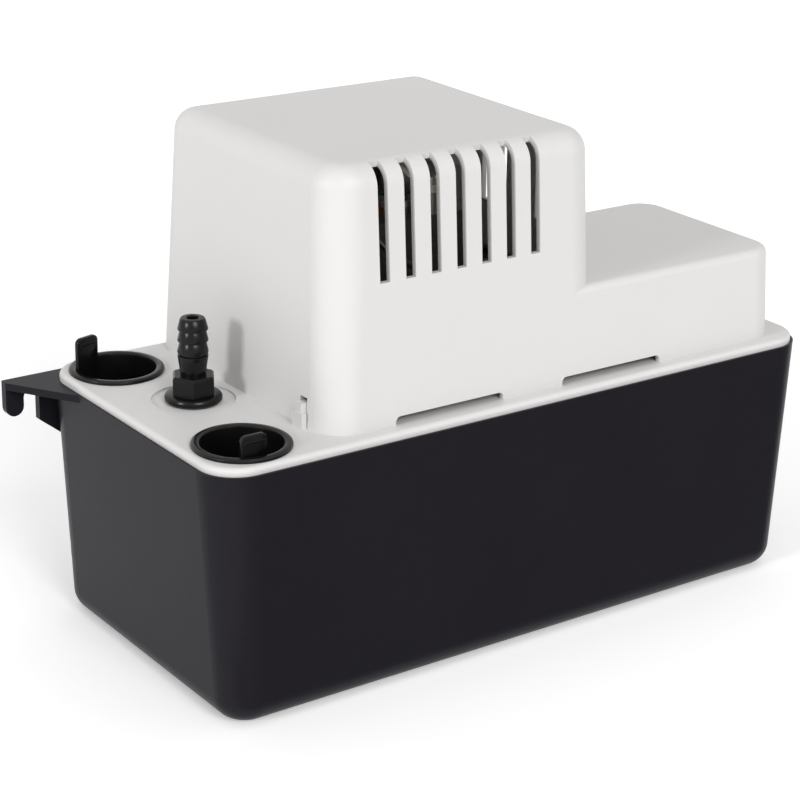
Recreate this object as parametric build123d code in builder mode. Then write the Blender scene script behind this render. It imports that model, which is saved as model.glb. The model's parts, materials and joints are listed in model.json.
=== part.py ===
"""Condensate pump: a hanging tank, a deck that carries the motor, pump, float and switches,
and a slotted cover over them.  Millimetres, +Z up, origin at the centre of the tank's base.
X runs along the tank, from the two inlets to the cord end; -Y is the front."""
import os
from math import asin, atan2, cos, degrees, hypot, radians, sin, tan

from build123d import *

os.makedirs("parts", exist_ok=True)

# ---------------------------------------------------------------- clearances
lift_gap = 0.3          # between a piece and the part it lifts out of, each side
running_gap = 0.05      # radial, of a shaft or pin that turns
slip_gap = 0.1          # radial, of a fixed piece pushed into its hole
skin = 0.4              # between moving sheet parts

# ---------------------------------------------------------------- tank
rim_length = 270.0
rim_width = 127.4
tank_height = 95.6
end_draft = 5.7         # how far each end leans in at the base
side_draft = 1.2        # how far each side leans in at the base
rim_corner = 15.4
base_corner = 12.0
base_edge = 9.5
tank_wall = 2.6
tank_floor = 2.8
rim_lip = 0.9
seat_depth = 2.0        # from the rim down to the ledge that carries the deck

# hanger ears
ear_reach = 16.4
ear_thickness = 2.8     # of the level plate
flange_thickness = 3.2
ear_root = 34.5         # length of the level plate along the end wall
ear_kink = 5.5          # where its edge turns in to the wall
leg_width = 7.2
leg_depth = 13.8
hanger_slot = 6.2
slot_roof = 4.2         # solid above the hanger slot
gusset_depth = 17.2     # beside the slot
gusset_slope = 0.8      # gain in depth per millimetre towards the wall

# ---------------------------------------------------------------- deck
deck_rise = 2.9         # deck top above the rim
deck_sheet = 2.8
deck_edge = 1.6
deck_band = 4.2
skirt_inset = 3.0
skirt_wall = 2.0
skirt_depth = 9.0

# inlets and their cup plugs: (x, y), then the pull tab's middle from there, its turn and height
inlet_places = {
    "front": (21.2 - rim_length / 2, 20.5 - rim_width / 2, -2.9, -11.8, 0.0, 7.0),
    "rear": (21.2 - rim_length / 2, rim_width / 2 - 19.1, -9.4, 5.5, 15.0, 11.5),
    "side": (rim_length / 2 - 35.0, rim_width / 2 - 20.1, 8.8, -5.5, 0.0, 9.0),
}
inlet_radius = 15.8
plug_flange_width = 2.1
plug_flange_height = 1.5
plug_wall = 1.1
plug_depth = 14.0
plug_floor = 1.6
tab_width = 10.0
tab_thickness = 1.6

# outlet fitting
outlet_x = -105.3
outlet_y = 3.5
pad_radius = 15.2
pad_depth = 0.7
collar_radius = 10.4
collar_height = 2.6
collar_bevel = 0.9
hex_flats = 14.6
hex_height = 7.0
stem_radius = 5.65
stem_height = 8.2
barb_pitch = 4.3
barb_count = 3
barb_root = 4.6
barb_neck = 0.7         # plain root under each barb
outlet_bore = 2.05
shank_radius = 6.6
shank_length = 11.0     # below the deck's underside
seal_section = 0.7

# check valve
valve_radius = 9.6
valve_length = 29.0
valve_chamber = 5.6
valve_chamber_length = 12.0
valve_seat_bore = 3.2
nipple_radius = 4.9
nipple_length = 10.0
poppet_radius = 4.9
poppet_thickness = 2.0
poppet_stem = 1.4
poppet_lift = 4.0
spring_wire = 0.5
spring_radius = 3.4
spring_turns = 5

# ---------------------------------------------------------------- cover
cover_left = -87.0
cover_front = -56.9
cover_back = 62.2
cover_rise = 92.5        # of the tall step above the deck
tall_right = 34.0
low_right = 123.5
low_back = 24.1
low_rise = 35.5
cover_wall = 2.2
front_lean = 0.08       # lean inwards per millimetre of height
left_lean = 0.05
back_lean = 0.02
right_lean = 0.012
front_corner = 13.0
back_corner = 9.5
low_corner = 11.0
top_round = 8.5
low_round = 2.8

vent_width = 4.2
vent_pitch = 10.92
vent_count = 7
vent_first = -62.2
vent_rise = 51.5
vent_over = 6.0         # how far a vent runs on over the top edge
end_vent_count = 5
end_vent_middle = 2.8
notch_length = 47.2
notch_height = 3.1
notch_round = 2.0
notch_starts = (-59.3, 15.2)
latch_y = -39.5
latch_slot_width = 4.4
latch_slot_height = 10.8
latch_post_width = 6.2
latch_post_height = 5.5
latch_tongue_width = 3.6
latch_tongue_height = 9.0
latch_thickness = 2.0

# cord and safety-lead bushings: y, height above the deck, body radius, bore radius
cord_places = {"power_cord_bushing": (-6.0, 10.5, 5.9, 3.7), "safety_lead_grommet": (-28.5, 8.0, 3.9, 2.2)}
bushing_tab_thickness = 2.5
bushing_tab_inset = 7.4  # outer face of the tab inside the cover's end
bushing_flange = 1.5
bushing_flange_length = 2.0
bushing_sleeve_length = 10.5

# ---------------------------------------------------------------- motor
motor_x = -20.0
motor_y = 4.0
mount_boss_height = 10.0
mount_boss_radius = 4.0
mount_boss_x = 23.0
mount_boss_y = 22.0
plate_margin = 5.5
motor_plate_sheet = 1.6
motor_spacer_height = 11.9
motor_spacer_radius = 4.4
strap_width = 14.0
strap_sheet = 3.0
strap_gap = 9.0          # from a strap to the laminations
motor_bolt_y = 21.2
motor_bolt_radius = 2.0
stack_height = 26.0
stack_half_width = 26.0
stack_right = 21.0      # from the shaft to the open end
window_start = 21.0
window_end = 33.0
stack_left = 47.0
yoke_inner = 17.0
bore_radius = 16.2
air_gap = 0.5
shaft_radius = 3.0
bearing_radius = 6.0
bearing_length = 8.0
cage_ring_height = 3.0
coil_build = 9.0
bobbin_wall = 1.3
coil_below_flange = 1.0
shading_ring_section = 1.6
shading_span = 36
fan_radius = 26.0
fan_hub = 6.5
fan_height = 9.0
blade_sheet = 1.2
blade_pitch = 45.0
fan_blades = 6
fan_rise = 3.0          # above the upper strap
shaft_end_above_fan = 3.0
slinger_radius = 9.0
slinger_height = 2.0
slinger_rise = 3.0

# ---------------------------------------------------------------- pump
pump_floor_gap = 9.2    # underside of the volute's cover above the tank's base
volute_cover_sheet = 3.0
volute_radius = 24.0
volute_wall = 3.0
volute_height = 18.0
volute_roof = 3.0
eye_radius = 8.0
nozzle_length = 36.0
lug_circle = 25.5
lug_radius = 3.4
lug_turns = (40, 130, 310)
nozzle_offset = 15.5
impeller_radius = 17.0
impeller_disc = 2.0
impeller_height = 9.0
impeller_hub = 5.0
impeller_vanes = 6
impeller_gap = 1.4
column_radius = 11.0
column_bore = 7.5
column_flange_radius = 19.0
column_flange = 3.0
column_screw_circle = 15.0
column_screw_radius = 1.5
column_boss_radius = 3.2
column_boss_height = 4.0
column_neck = 8.0        # volute's neck inside the column
bushing_radius = 5.0
tube_wall = 1.8
tube_bend = 28.0
hose_grip = 12.0        # length of the nozzle inside the tube
clamp_width = 5.0
clamp_wall = 0.9

# ---------------------------------------------------------------- float and switches
pivot_x = 54.0
slot_length = 11.4      # of the slot in the deck for the float's crank
pivot_y = 3.0
pivot_drop = 10.5        # below the deck's top
pivot_pin = 1.5
arm_thickness = 3.0
arm_width = 5.0
arm_boss = 4.6
float_x = 84.0
float_z = 46.0
float_length = 40.0
float_width = 46.0
float_height = 20.0
float_round = 4.0
float_swing = 16.0
foot_length = 20.0
foot_width = 16.0
foot_sheet = 2.0
trip_x = 48.7
trip_rise = 12.0
trip_radius = 1.5
bracket_sheet = 2.0
bracket_length = 20.0
switch_left = 20.0
switch_depth = 16.0
switch_width = 10.2
switch_rise = 2.5
switch_height = 28.5
switch_plate = 2.0
terminal_length = 6.5
lever_rise = 27.5
lever_x = 37.4
lever_reach = 20.0
lever_angle = 29.4
lever_width = 5.0
lever_sheet = 0.8
lever_pin = 0.8
lever_ratio = 1.25
button_rise = 19.5
button_radius = 1.3
button_stand = 4.3
button_travel = 2.5
switch_screw_radius = 1.5
bracket_foot = 14.0

# ---------------------------------------------------------------- wiring
lead_radius = 1.1
nut_radius = 5.0
nut_length = 16.0
nut_x = 64.0
live_nut_y = -38.0
ground_nut_y = -25.0
wire_bend = 5.0

# ---------------------------------------------------------------- levels worked out
seat_z = tank_height - seat_depth
deck_top = tank_height + deck_rise
deck_under = deck_top - deck_sheet
deck_length = rim_length - 2 * (rim_lip + lift_gap)
deck_width = rim_width - 2 * (rim_lip + lift_gap)
deck_corner = rim_corner - rim_lip - lift_gap
plate_z = deck_top + mount_boss_height
spacer_z = plate_z + motor_plate_sheet
lower_strap_z = spacer_z + motor_spacer_height
stack_z = lower_strap_z + strap_sheet + strap_gap
stack_top = stack_z + stack_height
upper_strap_z = stack_top + strap_gap
motor_top = upper_strap_z + strap_sheet
fan_z = motor_top + fan_rise
shaft_top = fan_z + fan_height + shaft_end_above_fan
volute_z = pump_floor_gap + volute_cover_sheet
volute_top = volute_z + volute_height
volute_cavity_top = volute_top - volute_roof
impeller_z = volute_z + impeller_gap
nozzle_z = volute_z + (volute_height - volute_roof) / 2
valve_top = deck_under
valve_base = valve_top - valve_length
shank_end = deck_under - shank_length
valve_seat_z = shank_end - valve_chamber_length
cover_top = deck_top + cover_rise
low_top = deck_top + low_rise
vent_bottom = deck_top + vent_rise
pivot_z = deck_top - pivot_drop
trip_z = deck_top + trip_rise
switch_base = deck_top + switch_rise
lever_z = deck_top + lever_rise
button_z = deck_top + button_rise
axis_point = (motor_x, motor_y)
outlet_point = (outlet_x, outlet_y)
float_top = float_z + float_height / 2
run_switch_y = pivot_y - switch_plate / 2 - switch_width
safety_switch_y = pivot_y + switch_plate / 2
switch_face = switch_left + switch_depth
bolt_points = [(motor_x, motor_y - motor_bolt_y), (motor_x, motor_y + motor_bolt_y)]
ground_point = (motor_x + 12.0, motor_y - mount_boss_y - 1.0)
float_screw_x = (float_x - 10.0, float_x + 3.0)
bracket_screw_points = [(pivot_x + 7.0, pivot_y - 8.0), (pivot_x + 7.0, pivot_y + 8.0)]
foot_screw_points = [(switch_left - 8.0, pivot_y - 6.0), (switch_left - 8.0, pivot_y + 6.0)]
shading_turns = (20, 200)
tab_outer = low_right - cover_wall - bushing_tab_inset + bushing_flange_length + bushing_tab_thickness
tab_inner = tab_outer - bushing_tab_thickness
latch_left_x = cover_left - lift_gap
latch_right_x = low_right + lift_gap
slot_middle_x = pivot_x - 4.0
column_screw_points = [
    (motor_x + column_screw_circle * cos(radians(turn)), motor_y + column_screw_circle * sin(radians(turn)))
    for turn in (0, 120, 240)
]
boss_points = [
    (motor_x + sx * mount_boss_x, motor_y + sy * mount_boss_y) for sx in (-1, 1) for sy in (-1, 1)
]


# ---------------------------------------------------------------- shapes used by several pieces
def shading_points(turn):
    """The two holes of one shading ring, beside the rotor bore."""
    reach = bore_radius + 1.0 + shading_ring_section
    return [
        (motor_x + reach * cos(radians(turn + step)), motor_y + reach * sin(radians(turn + step)))
        for step in (0, shading_span)
    ]


def leaning_block(x0, x1, y0, y1, z0, z1, leans, corners, round_top):
    """A block whose walls lean in; leans = left, right, front, back; corners = front, back."""
    rise = z1 - z0
    left, right, front, back = (rise * lean for lean in leans)
    with BuildPart() as block:
        with BuildSketch(Plane.XY.offset(z0)):
            with Locations(((x0 + x1) / 2, (y0 + y1) / 2)):
                Rectangle(x1 - x0, y1 - y0)
        with BuildSketch(Plane.XY.offset(z1)):
            with Locations(((x0 + left + x1 - right) / 2, (y0 + front + y1 - back) / 2)):
                Rectangle(x1 - x0 - left - right, y1 - y0 - front - back)
        loft()
        walls = block.edges().filter_by(lambda edge: edge.bounding_box().size.Z > rise / 2)
        fillet(walls.sort_by(Axis.Y)[:2], corners[0])
        walls = block.edges().filter_by(lambda edge: edge.bounding_box().size.Z > rise / 2)
        fillet(walls.sort_by(Axis.Y)[-2:], corners[1])
        fillet(block.faces().sort_by(Axis.Z)[-1].edges(), round_top)
    return block.part


def disc(x, y, z, radius, height, bore=0.0):
    """An upright disc or ring that stands on z."""
    with BuildPart() as ring:
        with BuildSketch(Plane.XY.offset(z)):
            with Locations((x, y)):
                Circle(radius)
                if bore > 0:
                    Circle(bore, mode=Mode.SUBTRACT)
        extrude(amount=height)
    return ring.part


def slab(x0, x1, y0, y1, z0, z1):
    """A plain block between two corners."""
    with BuildPart() as block:
        with BuildSketch(Plane.XY.offset(z0)):
            with Locations(((x0 + x1) / 2, (y0 + y1) / 2)):
                Rectangle(x1 - x0, y1 - y0)
        extrude(amount=z1 - z0)
    return block.part


def rod(x, y0, y1, z, radius):
    """A round bar along Y."""
    with BuildPart() as bar:
        with BuildSketch(Plane(origin=(x, y0, z), x_dir=(1, 0, 0), z_dir=(0, 1, 0))):
            Circle(radius)
        extrude(amount=y1 - y0)
    return bar.part


def bar_x(x0, x1, y, z, radius):
    """A round bar along X."""
    with BuildPart() as bar:
        with BuildSketch(Plane(origin=(x0, y, z), x_dir=(0, 1, 0), z_dir=(1, 0, 0))):
            Circle(radius)
        extrude(amount=x1 - x0)
    return bar.part


def screw(x, y, seat, reach, radius, head_up=True):
    """A pan-head screw with its head on seat and its shank running reach away from it."""
    head = 1.1 * radius
    with BuildPart() as fastener:
        with BuildSketch(Plane.XY.offset(seat if head_up else seat - head)):
            with Locations((x, y)):
                Circle(1.9 * radius)
        extrude(amount=head)
        crown = fastener.edges().group_by(Axis.Z)[-1 if head_up else 0]
        fillet(crown, 0.4 * head)
        with BuildSketch(Plane.XY.offset(seat - reach if head_up else seat)):
            with Locations((x, y)):
                Circle(radius)
        extrude(amount=reach)
        with BuildSketch(Plane.XY.offset(seat + head if head_up else seat - head)):
            with Locations((x, y)):
                Rectangle(2.2 * radius, 0.35 * radius)
                Rectangle(0.35 * radius, 2.2 * radius)
        extrude(amount=-0.45 * head if head_up else 0.45 * head, mode=Mode.SUBTRACT)
    return fastener.part


def lead_tube(points, bend, radius=None):
    """A wire along straight runs joined by arcs of one bend radius."""
    with BuildPart() as tube:
        with BuildLine() as route:
            FilletPolyline(*points, radius=bend)
        with BuildSketch(Plane(origin=route.line @ 0, z_dir=route.line % 0)):
            Circle(radius or lead_radius)
        sweep()
    return tube.part


# ---------------------------------------------------------------- tank with hanger ears
def ear():
    """The hanger ear at the cord end: a level plate over a slotted flange that deepens to the wall."""
    end = rim_length / 2
    back = rim_width / 2
    tip = end + ear_reach
    slot_middle = tip - leg_width - hanger_slot / 2
    gusset = tip - leg_width - hanger_slot
    root = end - rim_corner
    leg_middle = tip - leg_width / 2
    leg_straight = leg_depth - leg_width / 2
    with BuildPart() as bracket:
        with BuildSketch(Plane.XY.offset(tank_height)):
            with BuildLine():
                Polyline(
                    (tip, back), (tip, back - flange_thickness), (end, back - ear_root + ear_kink),
                    (end - ear_kink, back - ear_root), (root, back - ear_root), (root, back), (tip, back),
                )
            make_face()
        extrude(amount=-ear_thickness)
        with BuildSketch(Plane(origin=(0, back, tank_height), x_dir=(1, 0, 0), z_dir=(0, -1, 0))):
            with BuildLine():
                Polyline(
                    (root, 0), (tip, 0), (tip, -slot_roof - hanger_slot / 2),
                    (gusset, -slot_roof - hanger_slot / 2), (gusset, -gusset_depth),
                    (root, -gusset_depth - gusset_slope * (gusset - root)), close=True,
                )
            make_face()
            with Locations((leg_middle, -leg_straight / 2)):
                Rectangle(leg_width, leg_straight)
            with Locations((leg_middle, -leg_straight)):
                Circle(leg_width / 2)
        extrude(amount=flange_thickness)
        with BuildSketch(Plane(origin=(0, back, tank_height), x_dir=(1, 0, 0), z_dir=(0, -1, 0))):
            with Locations((slot_middle, -slot_roof - hanger_slot / 2)):
                Circle(hanger_slot / 2)
            with Locations((slot_middle, -slot_roof - hanger_slot / 2 - gusset_depth / 2)):
                Rectangle(hanger_slot, gusset_depth)
        extrude(amount=flange_thickness, mode=Mode.SUBTRACT)
    return bracket.part


end_slope = end_draft / tank_height
side_slope = side_draft / tank_height
with BuildPart() as tank_hollow:
    with BuildSketch(Plane.XY.offset(tank_floor)):
        RectangleRounded(
            rim_length - 2 * (end_draft - end_slope * tank_floor + tank_wall),
            rim_width - 2 * (side_draft - side_slope * tank_floor + tank_wall),
            base_corner - tank_wall,
        )
    with BuildSketch(Plane.XY.offset(tank_height)):
        RectangleRounded(rim_length - 2 * tank_wall, rim_width - 2 * tank_wall, rim_corner - tank_wall)
    loft()
    fillet(tank_hollow.faces().sort_by(Axis.Z)[0].edges(), base_edge - tank_wall)

with BuildPart() as tank:
    with BuildSketch():
        RectangleRounded(rim_length - 2 * end_draft, rim_width - 2 * side_draft, base_corner)
    with BuildSketch(Plane.XY.offset(tank_height)):
        RectangleRounded(rim_length, rim_width, rim_corner)
    loft()
    fillet(tank.faces().sort_by(Axis.Z)[0].edges(), base_edge)
    right_ear = ear()
    add(right_ear)
    add(mirror(right_ear, Plane.YZ, mode=Mode.PRIVATE))
    add(tank_hollow.part, mode=Mode.SUBTRACT)
    with BuildSketch(Plane.XY.offset(seat_z)):
        RectangleRounded(rim_length - 2 * rim_lip, rim_width - 2 * rim_lip, rim_corner - rim_lip)
    extrude(amount=seat_depth, mode=Mode.SUBTRACT)
tank.part.label = "tank"
export_step(tank.part, "parts/tank.step")

# ---------------------------------------------------------------- deck
with BuildPart() as deck:
    with BuildSketch(Plane.XY.offset(seat_z)):
        RectangleRounded(deck_length, deck_width, deck_corner)
    extrude(amount=deck_top - seat_z)
    fillet(deck.faces().sort_by(Axis.Z)[-1].edges(), deck_edge)
    with BuildSketch(Plane.XY.offset(seat_z)):
        RectangleRounded(deck_length - 2 * deck_band, deck_width - 2 * deck_band, deck_corner - deck_band)
    extrude(amount=deck_under - seat_z, mode=Mode.SUBTRACT)
    with BuildSketch(Plane.XY.offset(seat_z - skirt_depth)):
        RectangleRounded(
            deck_length - 2 * skirt_inset, deck_width - 2 * skirt_inset, deck_corner - skirt_inset
        )
        RectangleRounded(
            deck_length - 2 * (skirt_inset + skirt_wall),
            deck_width - 2 * (skirt_inset + skirt_wall),
            deck_corner - skirt_inset - skirt_wall,
            mode=Mode.SUBTRACT,
        )
    extrude(amount=skirt_depth + deck_under - seat_z)
    for inlet_x, inlet_y, *_ in inlet_places.values():
        add(disc(inlet_x, inlet_y, seat_z - skirt_depth - 1, inlet_radius, deck_top), mode=Mode.SUBTRACT)
    # recess and hole of the outlet fitting
    add(disc(outlet_x, outlet_y, deck_top - pad_depth, pad_radius, deck_rise), mode=Mode.SUBTRACT)
    add(disc(outlet_x, outlet_y, deck_under - 1, shank_radius + slip_gap, deck_sheet + 2), mode=Mode.SUBTRACT)
    # bosses under the motor plate, and the column's screw bosses
    for boss_x, boss_y in boss_points:
        add(disc(boss_x, boss_y, deck_top - 1, mount_boss_radius, mount_boss_height + 1))
        add(disc(boss_x, boss_y, deck_under, motor_bolt_radius, deck_top + mount_boss_height),
            mode=Mode.SUBTRACT)
    for screw_x, screw_y in column_screw_points:
        add(disc(screw_x, screw_y, deck_top - 1, column_boss_radius, column_boss_height + 1))
        add(disc(screw_x, screw_y, deck_under - 1, column_screw_radius, deck_sheet + column_boss_height),
            mode=Mode.SUBTRACT)
    add(disc(motor_x, motor_y, deck_under - 1, column_bore, deck_sheet + 2), mode=Mode.SUBTRACT)
    for screw_x, screw_y in (*bracket_screw_points, *foot_screw_points):
        add(disc(screw_x, screw_y, deck_under - 1, column_screw_radius, deck_sheet + 2), mode=Mode.SUBTRACT)
    # slot for the float's crank
    add(slab(slot_middle_x - slot_length / 2, slot_middle_x + slot_length / 2,
             pivot_y - arm_thickness / 2 - 1, pivot_y + arm_thickness / 2 + 1,
             deck_under - 1, deck_top + 1), mode=Mode.SUBTRACT)
    # latch posts with tongues in the cover's end slots
    for face_x, way in ((latch_left_x, -1), (latch_right_x, 1)):
        post = sorted((face_x, face_x + way * latch_thickness))
        tongue = sorted((face_x + way * latch_thickness * 0.75, face_x - way * cover_wall))
        add(slab(*post, latch_y - latch_post_width / 2, latch_y + latch_post_width / 2,
                 deck_top - 1, deck_top + latch_post_height))
        add(slab(*tongue, latch_y - latch_tongue_width / 2, latch_y + latch_tongue_width / 2,
                 deck_top - 1, deck_top + latch_tongue_height))
    # tabs that hold the bushings
    for cord_y, cord_rise, body_radius, cord_bore in cord_places.values():
        half_tab = body_radius + bushing_flange + 1
        tab_height = cord_rise + body_radius + 2.5
        add(slab(tab_inner, tab_outer, cord_y - half_tab, cord_y + half_tab, deck_top - 1,
                 deck_top + tab_height))
        add(bar_x(tab_inner - 1, tab_outer + 1, cord_y, deck_top + cord_rise, body_radius),
            mode=Mode.SUBTRACT)
deck.part.label = "deck"
export_step(deck.part, "parts/deck.step")

# ---------------------------------------------------------------- inlet plugs
plug_radius = inlet_radius - lift_gap
for inlet_name, (inlet_x, inlet_y, tab_x, tab_y, tab_turn, tab_height) in inlet_places.items():
    flange_z = deck_top
    with BuildPart() as plug:
        add(disc(inlet_x, inlet_y, flange_z, plug_radius + plug_flange_width, plug_flange_height))
        fillet(plug.edges().group_by(Axis.Z)[-1], plug_flange_height / 3)
        add(disc(inlet_x, inlet_y, flange_z - plug_depth, plug_radius, plug_depth + 0.5))
        add(disc(inlet_x, inlet_y, flange_z - plug_depth + plug_floor, plug_radius - plug_wall,
                 plug_depth + plug_flange_height), mode=Mode.SUBTRACT)
        with BuildSketch(Plane.XY.offset(flange_z - plug_depth)):
            with Locations((inlet_x + tab_x, inlet_y + tab_y)):
                Rectangle(tab_width, tab_thickness, rotation=tab_turn)
        extrude(amount=plug_depth + plug_flange_height + tab_height)
    plug.part.label = f"inlet_plug_{inlet_name}"
    export_step(plug.part, f"parts/inlet_plug_{inlet_name}.step")

# ---------------------------------------------------------------- outlet fitting and check valve
fitting_base = deck_top - pad_depth
hex_z = fitting_base + seal_section + collar_height
stem_z = hex_z + hex_height
barb_z = stem_z + stem_height
tip_z = barb_z + barb_count * barb_pitch
with BuildPart() as outlet_fitting:
    with BuildSketch(Plane(origin=(outlet_x, outlet_y, 0), x_dir=(1, 0, 0), z_dir=(0, -1, 0))):
        with BuildLine():
            profile = [
                (0, shank_end), (shank_radius, shank_end), (shank_radius, fitting_base + seal_section),
                (collar_radius, fitting_base + seal_section), (collar_radius, hex_z - collar_bevel),
                (collar_radius - collar_bevel, hex_z), (stem_radius, hex_z), (stem_radius, barb_z),
            ]
            for barb in range(barb_count):
                foot = barb_z + barb * barb_pitch
                profile += [
                    (barb_root, foot), (barb_root, foot + barb_neck), (stem_radius, foot + barb_neck),
                ]
            profile += [(barb_root, tip_z), (0, tip_z)]
            Polyline(*profile, close=True)
        make_face()
    revolve(axis=Axis((outlet_x, outlet_y, 0), (0, 0, 1)))
    with BuildSketch(Plane.XY.offset(hex_z)):
        with Locations(outlet_point):
            RegularPolygon(hex_flats / 2, 6, major_radius=False, rotation=10)
    extrude(amount=hex_height)
    add(disc(outlet_x, outlet_y, shank_end - 1, outlet_bore, tip_z), mode=Mode.SUBTRACT)
outlet_fitting.part.label = "outlet_fitting"
export_step(outlet_fitting.part, "parts/outlet_fitting.step")

with BuildPart() as outlet_seal:
    add(disc(outlet_x, outlet_y, fitting_base, collar_radius - 1, seal_section, shank_radius + slip_gap))
outlet_seal.part.label = "outlet_seal"
export_step(outlet_seal.part, "parts/outlet_seal.step")

with BuildPart() as check_valve_body:
    add(disc(outlet_x, outlet_y, valve_base, valve_radius, valve_length))
    add(disc(outlet_x, outlet_y, valve_base - nipple_length, nipple_radius, nipple_length))
    add(disc(outlet_x, outlet_y, valve_base - nipple_length - 1, valve_seat_bore, valve_length), mode=Mode.SUBTRACT)
    add(disc(outlet_x, outlet_y, valve_seat_z, valve_chamber, valve_length), mode=Mode.SUBTRACT)
    add(disc(outlet_x, outlet_y, shank_end, shank_radius, valve_length), mode=Mode.SUBTRACT)
check_valve_body.part.label = "check_valve_body"
export_step(check_valve_body.part, "parts/check_valve_body.step")

with BuildPart() as check_valve_poppet:
    add(disc(outlet_x, outlet_y, valve_seat_z, poppet_radius, poppet_thickness))
    add(disc(outlet_x, outlet_y, valve_seat_z - poppet_lift - 2, poppet_stem, poppet_lift + 3))
    add(disc(outlet_x, outlet_y, valve_seat_z, poppet_stem, poppet_thickness + 2))
check_valve_poppet.part.label = "check_valve_poppet"
export_step(check_valve_poppet.part, "parts/check_valve_poppet.step")

spring_foot = valve_seat_z + poppet_thickness + spring_wire
spring_length = shank_end - spring_wire - spring_foot
with BuildPart() as check_valve_spring:
    with BuildLine():
        coil_line = Helix(spring_length / spring_turns, spring_length, spring_radius,
                          center=(outlet_x, outlet_y, spring_foot))
    with BuildSketch(Plane(origin=coil_line @ 0, z_dir=coil_line % 0)):
        Circle(spring_wire)
    sweep(is_frenet=True)
check_valve_spring.part.label = "check_valve_spring"
export_step(check_valve_spring.part, "parts/check_valve_spring.step")

# ---------------------------------------------------------------- cover
tall_leans = (left_lean, right_lean, front_lean, back_lean)
low_leans = (0.0, right_lean, front_lean, back_lean)
low_start = motor_x      # the low form starts inside the tall one
tall_outer = leaning_block(cover_left, tall_right, cover_front, cover_back, deck_top, cover_top,
                           tall_leans, (front_corner, back_corner), top_round)
low_outer = leaning_block(low_start, low_right, cover_front, low_back, deck_top, low_top,
                          low_leans, (low_corner, low_corner), low_round)
tall_inner = leaning_block(cover_left + cover_wall, tall_right - cover_wall, cover_front + cover_wall,
                           cover_back - cover_wall, deck_top, cover_top - cover_wall, tall_leans,
                           (front_corner - cover_wall, back_corner - cover_wall), top_round - cover_wall)
low_inner = leaning_block(low_start, low_right - cover_wall, cover_front + cover_wall,
                          low_back - cover_wall, deck_top, low_top - cover_wall, low_leans,
                          (low_corner - cover_wall, low_corner - cover_wall), low_round / 3)
tall_rise = cover_top - deck_top
vent_front_end = cover_front + front_lean * tall_rise + vent_over
vent_back_end = cover_back - back_lean * tall_rise - vent_over
vent_side_end = tall_right - right_lean * tall_rise - vent_over
vent_height = cover_top - vent_bottom + 1
with BuildPart() as motor_cover:
    add(tall_outer)
    add(low_outer)
    add(tall_inner, mode=Mode.SUBTRACT)
    add(low_inner, mode=Mode.SUBTRACT)
    for vent in range(vent_count):
        vent_x = vent_first + vent * vent_pitch
        add(slab(vent_x - vent_width / 2, vent_x + vent_width / 2, cover_front - 1, vent_front_end,
                 vent_bottom, vent_bottom + vent_height), mode=Mode.SUBTRACT)
        add(slab(vent_x - vent_width / 2, vent_x + vent_width / 2, vent_back_end, cover_back + 1,
                 vent_bottom, vent_bottom + vent_height), mode=Mode.SUBTRACT)
    for vent in range(end_vent_count):
        vent_y = end_vent_middle + (vent - (end_vent_count - 1) / 2) * vent_pitch
        add(slab(vent_side_end, tall_right + 1, vent_y - vent_width / 2, vent_y + vent_width / 2,
                 vent_bottom, vent_bottom + vent_height), mode=Mode.SUBTRACT)
    for notch_start in notch_starts:
        with BuildSketch(Plane(origin=(notch_start + notch_length / 2, cover_front - 1, deck_top),
                               x_dir=(1, 0, 0), z_dir=(0, 1, 0))):
            RectangleRounded(notch_length, 2 * notch_height, notch_round)
        extrude(amount=cover_wall + front_corner, mode=Mode.SUBTRACT)
    for end_x in (cover_left, low_right):
        add(slab(end_x - 2 * cover_wall, end_x + 2 * cover_wall, latch_y - latch_slot_width / 2,
                 latch_y + latch_slot_width / 2, deck_top, deck_top + latch_slot_height),
            mode=Mode.SUBTRACT)
    for cord_y, cord_rise, body_radius, cord_bore in cord_places.values():
        sleeve = body_radius + lift_gap
        add(slab(low_right - 2 * cover_wall, low_right + 1, cord_y - sleeve, cord_y + sleeve, deck_top,
                 deck_top + cord_rise), mode=Mode.SUBTRACT)
        add(bar_x(low_right - 2 * cover_wall, low_right + 1, cord_y, deck_top + cord_rise, sleeve),
            mode=Mode.SUBTRACT)
motor_cover.part.label = "motor_cover"
export_step(motor_cover.part, "parts/motor_cover.step")

# ---------------------------------------------------------------- cord and safety-lead bushings
for bushing_name, (cord_y, cord_rise, body_radius, cord_bore) in cord_places.items():
    centre_z = deck_top + cord_rise
    flange_radius = body_radius + bushing_flange
    with BuildPart() as bushing:
        add(bar_x(tab_inner - bushing_flange_length, tab_inner, cord_y, centre_z, flange_radius))
        add(bar_x(tab_inner, tab_outer, cord_y, centre_z, body_radius))
        add(bar_x(tab_outer, tab_outer + bushing_flange_length, cord_y, centre_z, flange_radius))
        with BuildSketch(Plane(origin=(tab_outer + bushing_flange_length, cord_y, centre_z),
                               x_dir=(0, 1, 0), z_dir=(1, 0, 0))):
            Circle(body_radius - 0.4)
        extrude(amount=bushing_sleeve_length, taper=4)
        add(bar_x(tab_inner - 9, low_right + 20, cord_y, centre_z, cord_bore), mode=Mode.SUBTRACT)
    bushing.part.label = bushing_name
    export_step(bushing.part, f"parts/{bushing_name}.step")

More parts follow.
